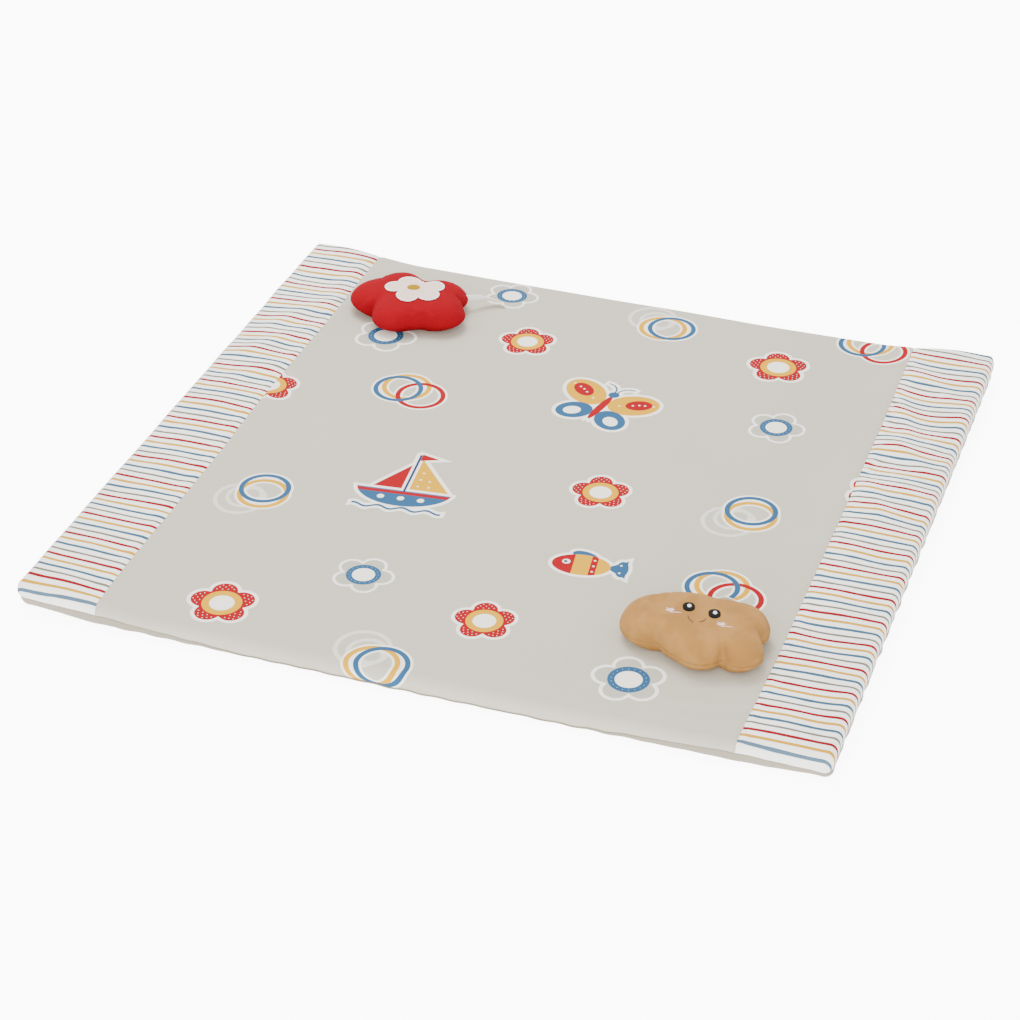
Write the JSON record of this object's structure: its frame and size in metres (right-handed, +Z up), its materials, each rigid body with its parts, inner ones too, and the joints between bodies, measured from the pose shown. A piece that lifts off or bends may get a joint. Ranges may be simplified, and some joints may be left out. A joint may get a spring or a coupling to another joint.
{
  "type": "baby play mat with soft toys",
  "caption": "Flat padded play mat for a baby: printed middle, striped sides and a plain backing, with a stuffed flower and a stuffed cloud lying on it.",
  "frame": {"origin": "middle of the mat's underside, on the floor", "axes": "+X along the mat's longer side towards the side that the cloud lies at, +Z up, -Y towards the viewer"},
  "size_m": [1, 0.945, 0.0711],
  "materials": {
    "backing_cloth": "matte plain weave",
    "printed_cloth": "smooth, slight sheen, printed motifs",
    "striped_cloth": "matte, thin printed stripes",
    "red_velour": "short pile",
    "pale_cloth": "brushed, with a white satin edge",
    "yellow_embroidery": "satin stitch",
    "beige_velour": "short pile",
    "ribbon": "woven ribbon, slight sheen"
  },
  "bodies": {
    "root": {"backing": "backing_cloth", "centre_panel": "printed_cloth", "stripe_panel_left": "striped_cloth", "stripe_panel_right": "striped_cloth", "flower_body": "red_velour", "flower_applique": "pale_cloth", "flower_centre": "yellow_embroidery", "flower_strap": "ribbon", "cloud_front": "beige_velour", "cloud_back": "beige_velour", "cloud_strap": "ribbon"}
  },
  "joints": []
}
